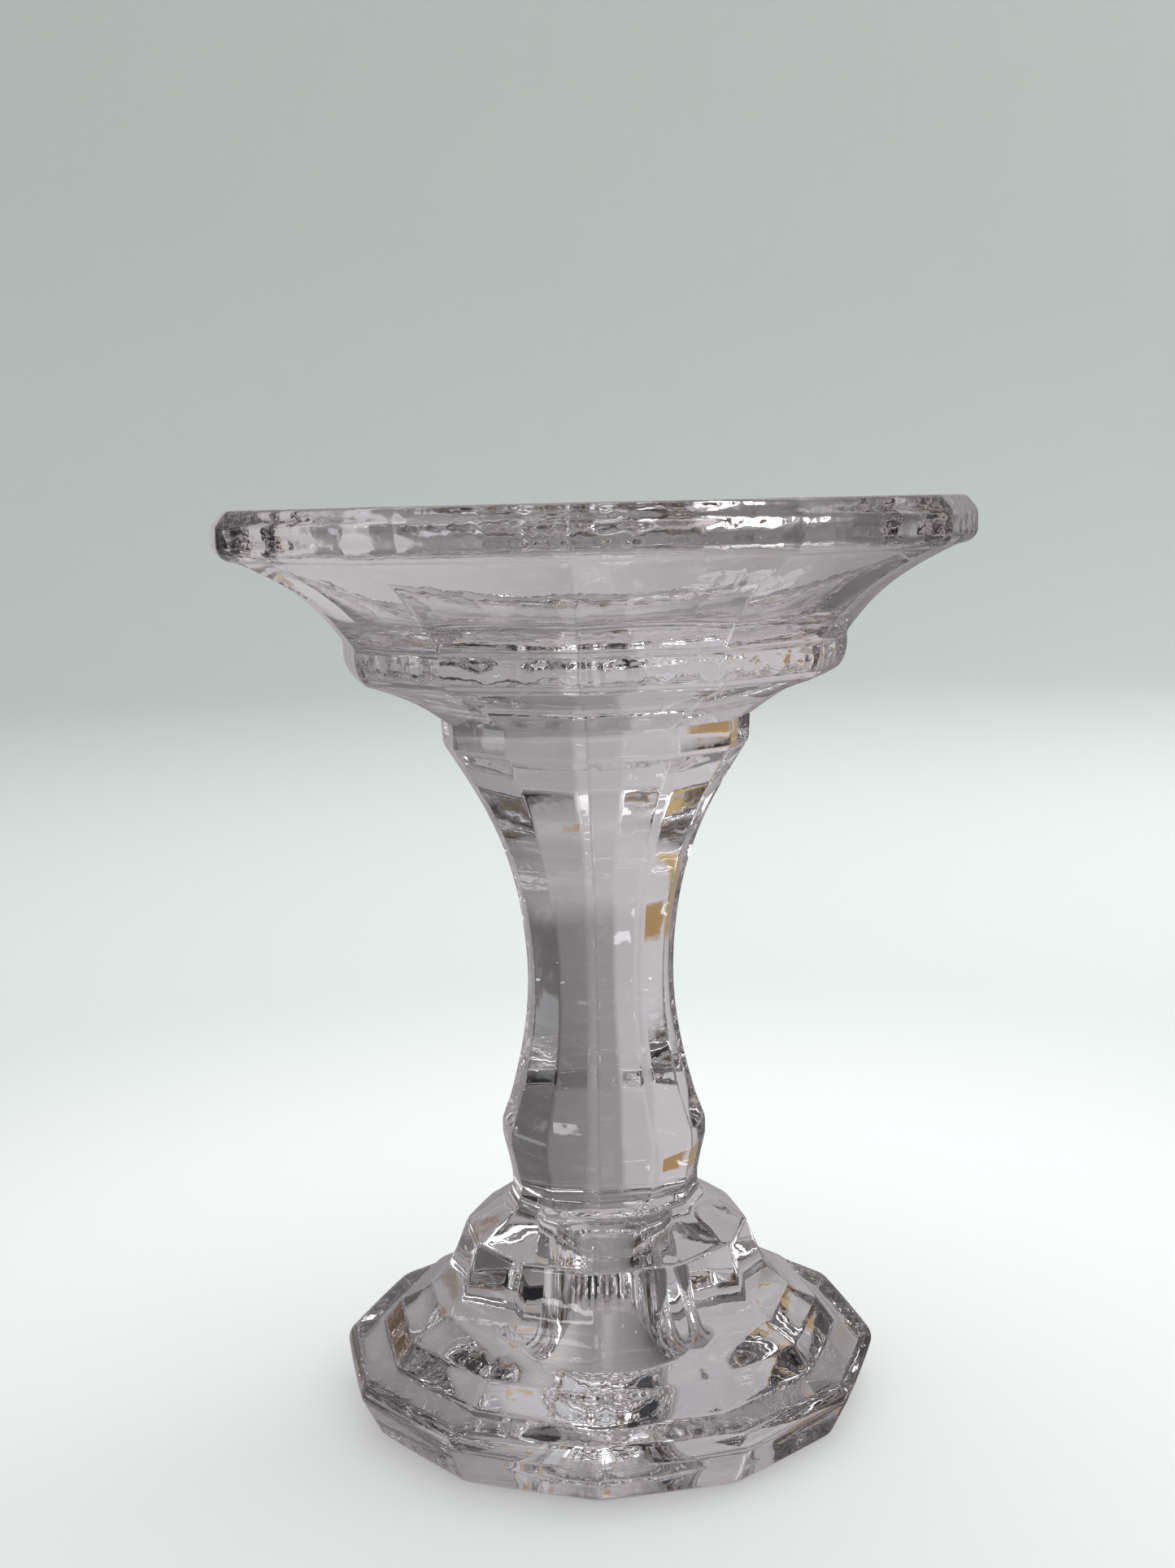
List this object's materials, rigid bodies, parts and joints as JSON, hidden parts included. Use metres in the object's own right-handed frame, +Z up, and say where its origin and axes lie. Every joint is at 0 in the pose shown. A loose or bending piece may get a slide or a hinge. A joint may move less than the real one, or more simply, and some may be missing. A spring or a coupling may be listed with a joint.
{
  "type": "glass candlestick",
  "caption": "Free-standing clear glass holder for a pillar candle: panelled dish with a banded rim and bead, collar, waisted stem with a knop, and a stepped foot with a hollow under it.",
  "frame": {"origin": "centre of the foot's underside, on the surface it stands on", "axes": "+Z up along the axis of the stem, -Y towards the viewer through a corner between two panels"},
  "size_m": [0.1268, 0.1268, 0.1524],
  "materials": {
    "clear_glass": "polished",
    "clear_bond": "clear cured adhesive"
  },
  "bodies": {
    "root": {"top_dish": "clear_glass", "dish_bond": "clear_bond", "stem": "clear_glass", "foot_bond": "clear_bond", "foot": "clear_glass"}
  },
  "joints": []
}
